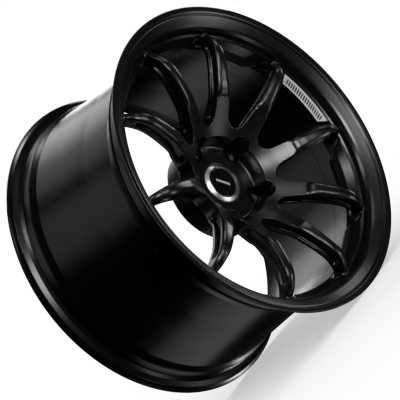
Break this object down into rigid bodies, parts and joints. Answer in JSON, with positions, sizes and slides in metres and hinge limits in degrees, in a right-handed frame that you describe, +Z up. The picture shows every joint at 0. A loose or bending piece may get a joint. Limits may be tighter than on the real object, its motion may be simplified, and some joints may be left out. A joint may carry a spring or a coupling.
{
  "type": "wheel rim",
  "caption": "Forged racing wheel rim with a deep concave face, slim I-beam spokes, stepped lip, wide barrel, recessed lug pockets, a push-in centre cap and a clamp-in tyre valve.",
  "frame": {"origin": "centre of the wheel, midway between the two lips on the spin axis", "axes": "+Y along the spin axis towards the car, so the outer face looks along -Y; +Z up through a spoke that carries a lug pocket; +X completes the frame, to the right seen from outside"},
  "size_m": [0.497, 0.2846, 0.497],
  "materials": {
    "satin_black_paint": "satin black powder coat over forged aluminium",
    "satin_silver": "satin silver",
    "gloss_black_badge": "gloss black",
    "black_plastic": "matte black",
    "white_vinyl": "matte white film",
    "black_rubber": "matte rubber",
    "spring_steel": "bright steel",
    "brass": "bright brass",
    "black_anodised": "black anodised aluminium"
  },
  "bodies": {
    "wheel": {"rim_front_flange": "satin_black_paint", "rim_well": "satin_black_paint", "rim_rear_flange": "satin_black_paint", "hub_ring_1": "satin_black_paint", "hub_ring_2": "satin_black_paint", "hub_ring_3": "satin_black_paint", "hub_ring_4": "satin_black_paint", "hub_ring_5": "satin_black_paint", "hub_flange_1": "satin_black_paint", "hub_flange_2": "satin_black_paint", "hub_flange_3": "satin_black_paint", "hub_flange_4": "satin_black_paint", "hub_flange_5": "satin_black_paint", "spoke_01": "satin_black_paint", "spoke_02": "satin_black_paint", "spoke_03": "satin_black_paint", "spoke_04": "satin_black_paint", "spoke_05": "satin_black_paint", "spoke_06": "satin_black_paint", "spoke_07": "satin_black_paint", "spoke_08": "satin_black_paint", "spoke_09": "satin_black_paint", "spoke_10": "satin_black_paint", "pad_sticker": "white_vinyl", "valve_stem": "black_anodised", "valve_grommet": "black_rubber", "valve_washer": "spring_steel", "valve_nut": "black_anodised", "valve_core_body": "brass", "valve_core_spring": "spring_steel"},
    "centre_cap": {"cap_body": "black_plastic", "cap_trim_ring": "satin_silver", "cap_badge": "gloss_black_badge", "cap_spring_ring": "spring_steel"},
    "valve_cap": {"valve_cap_shell": "black_anodised", "valve_cap_seal": "black_rubber"},
    "valve_pin": {"valve_core_pin": "brass"}
  },
  "joints": [
    {"name": "cap_pull", "type": "slide", "parent": "wheel", "child": "centre_cap", "axis": [0, -1, 0], "range_m": [0, 0.03]},
    {"name": "valve_cap_pull", "type": "slide", "parent": "wheel", "child": "valve_cap", "axis": [1, 0, 0], "range_m": [0, 0.02]},
    {"name": "valve_pin_press", "type": "slide", "parent": "wheel", "child": "valve_pin", "axis": [-1, 0, 0], "range_m": [0, 0.0012], "stiffness_N_per_m": 300}
  ]
}
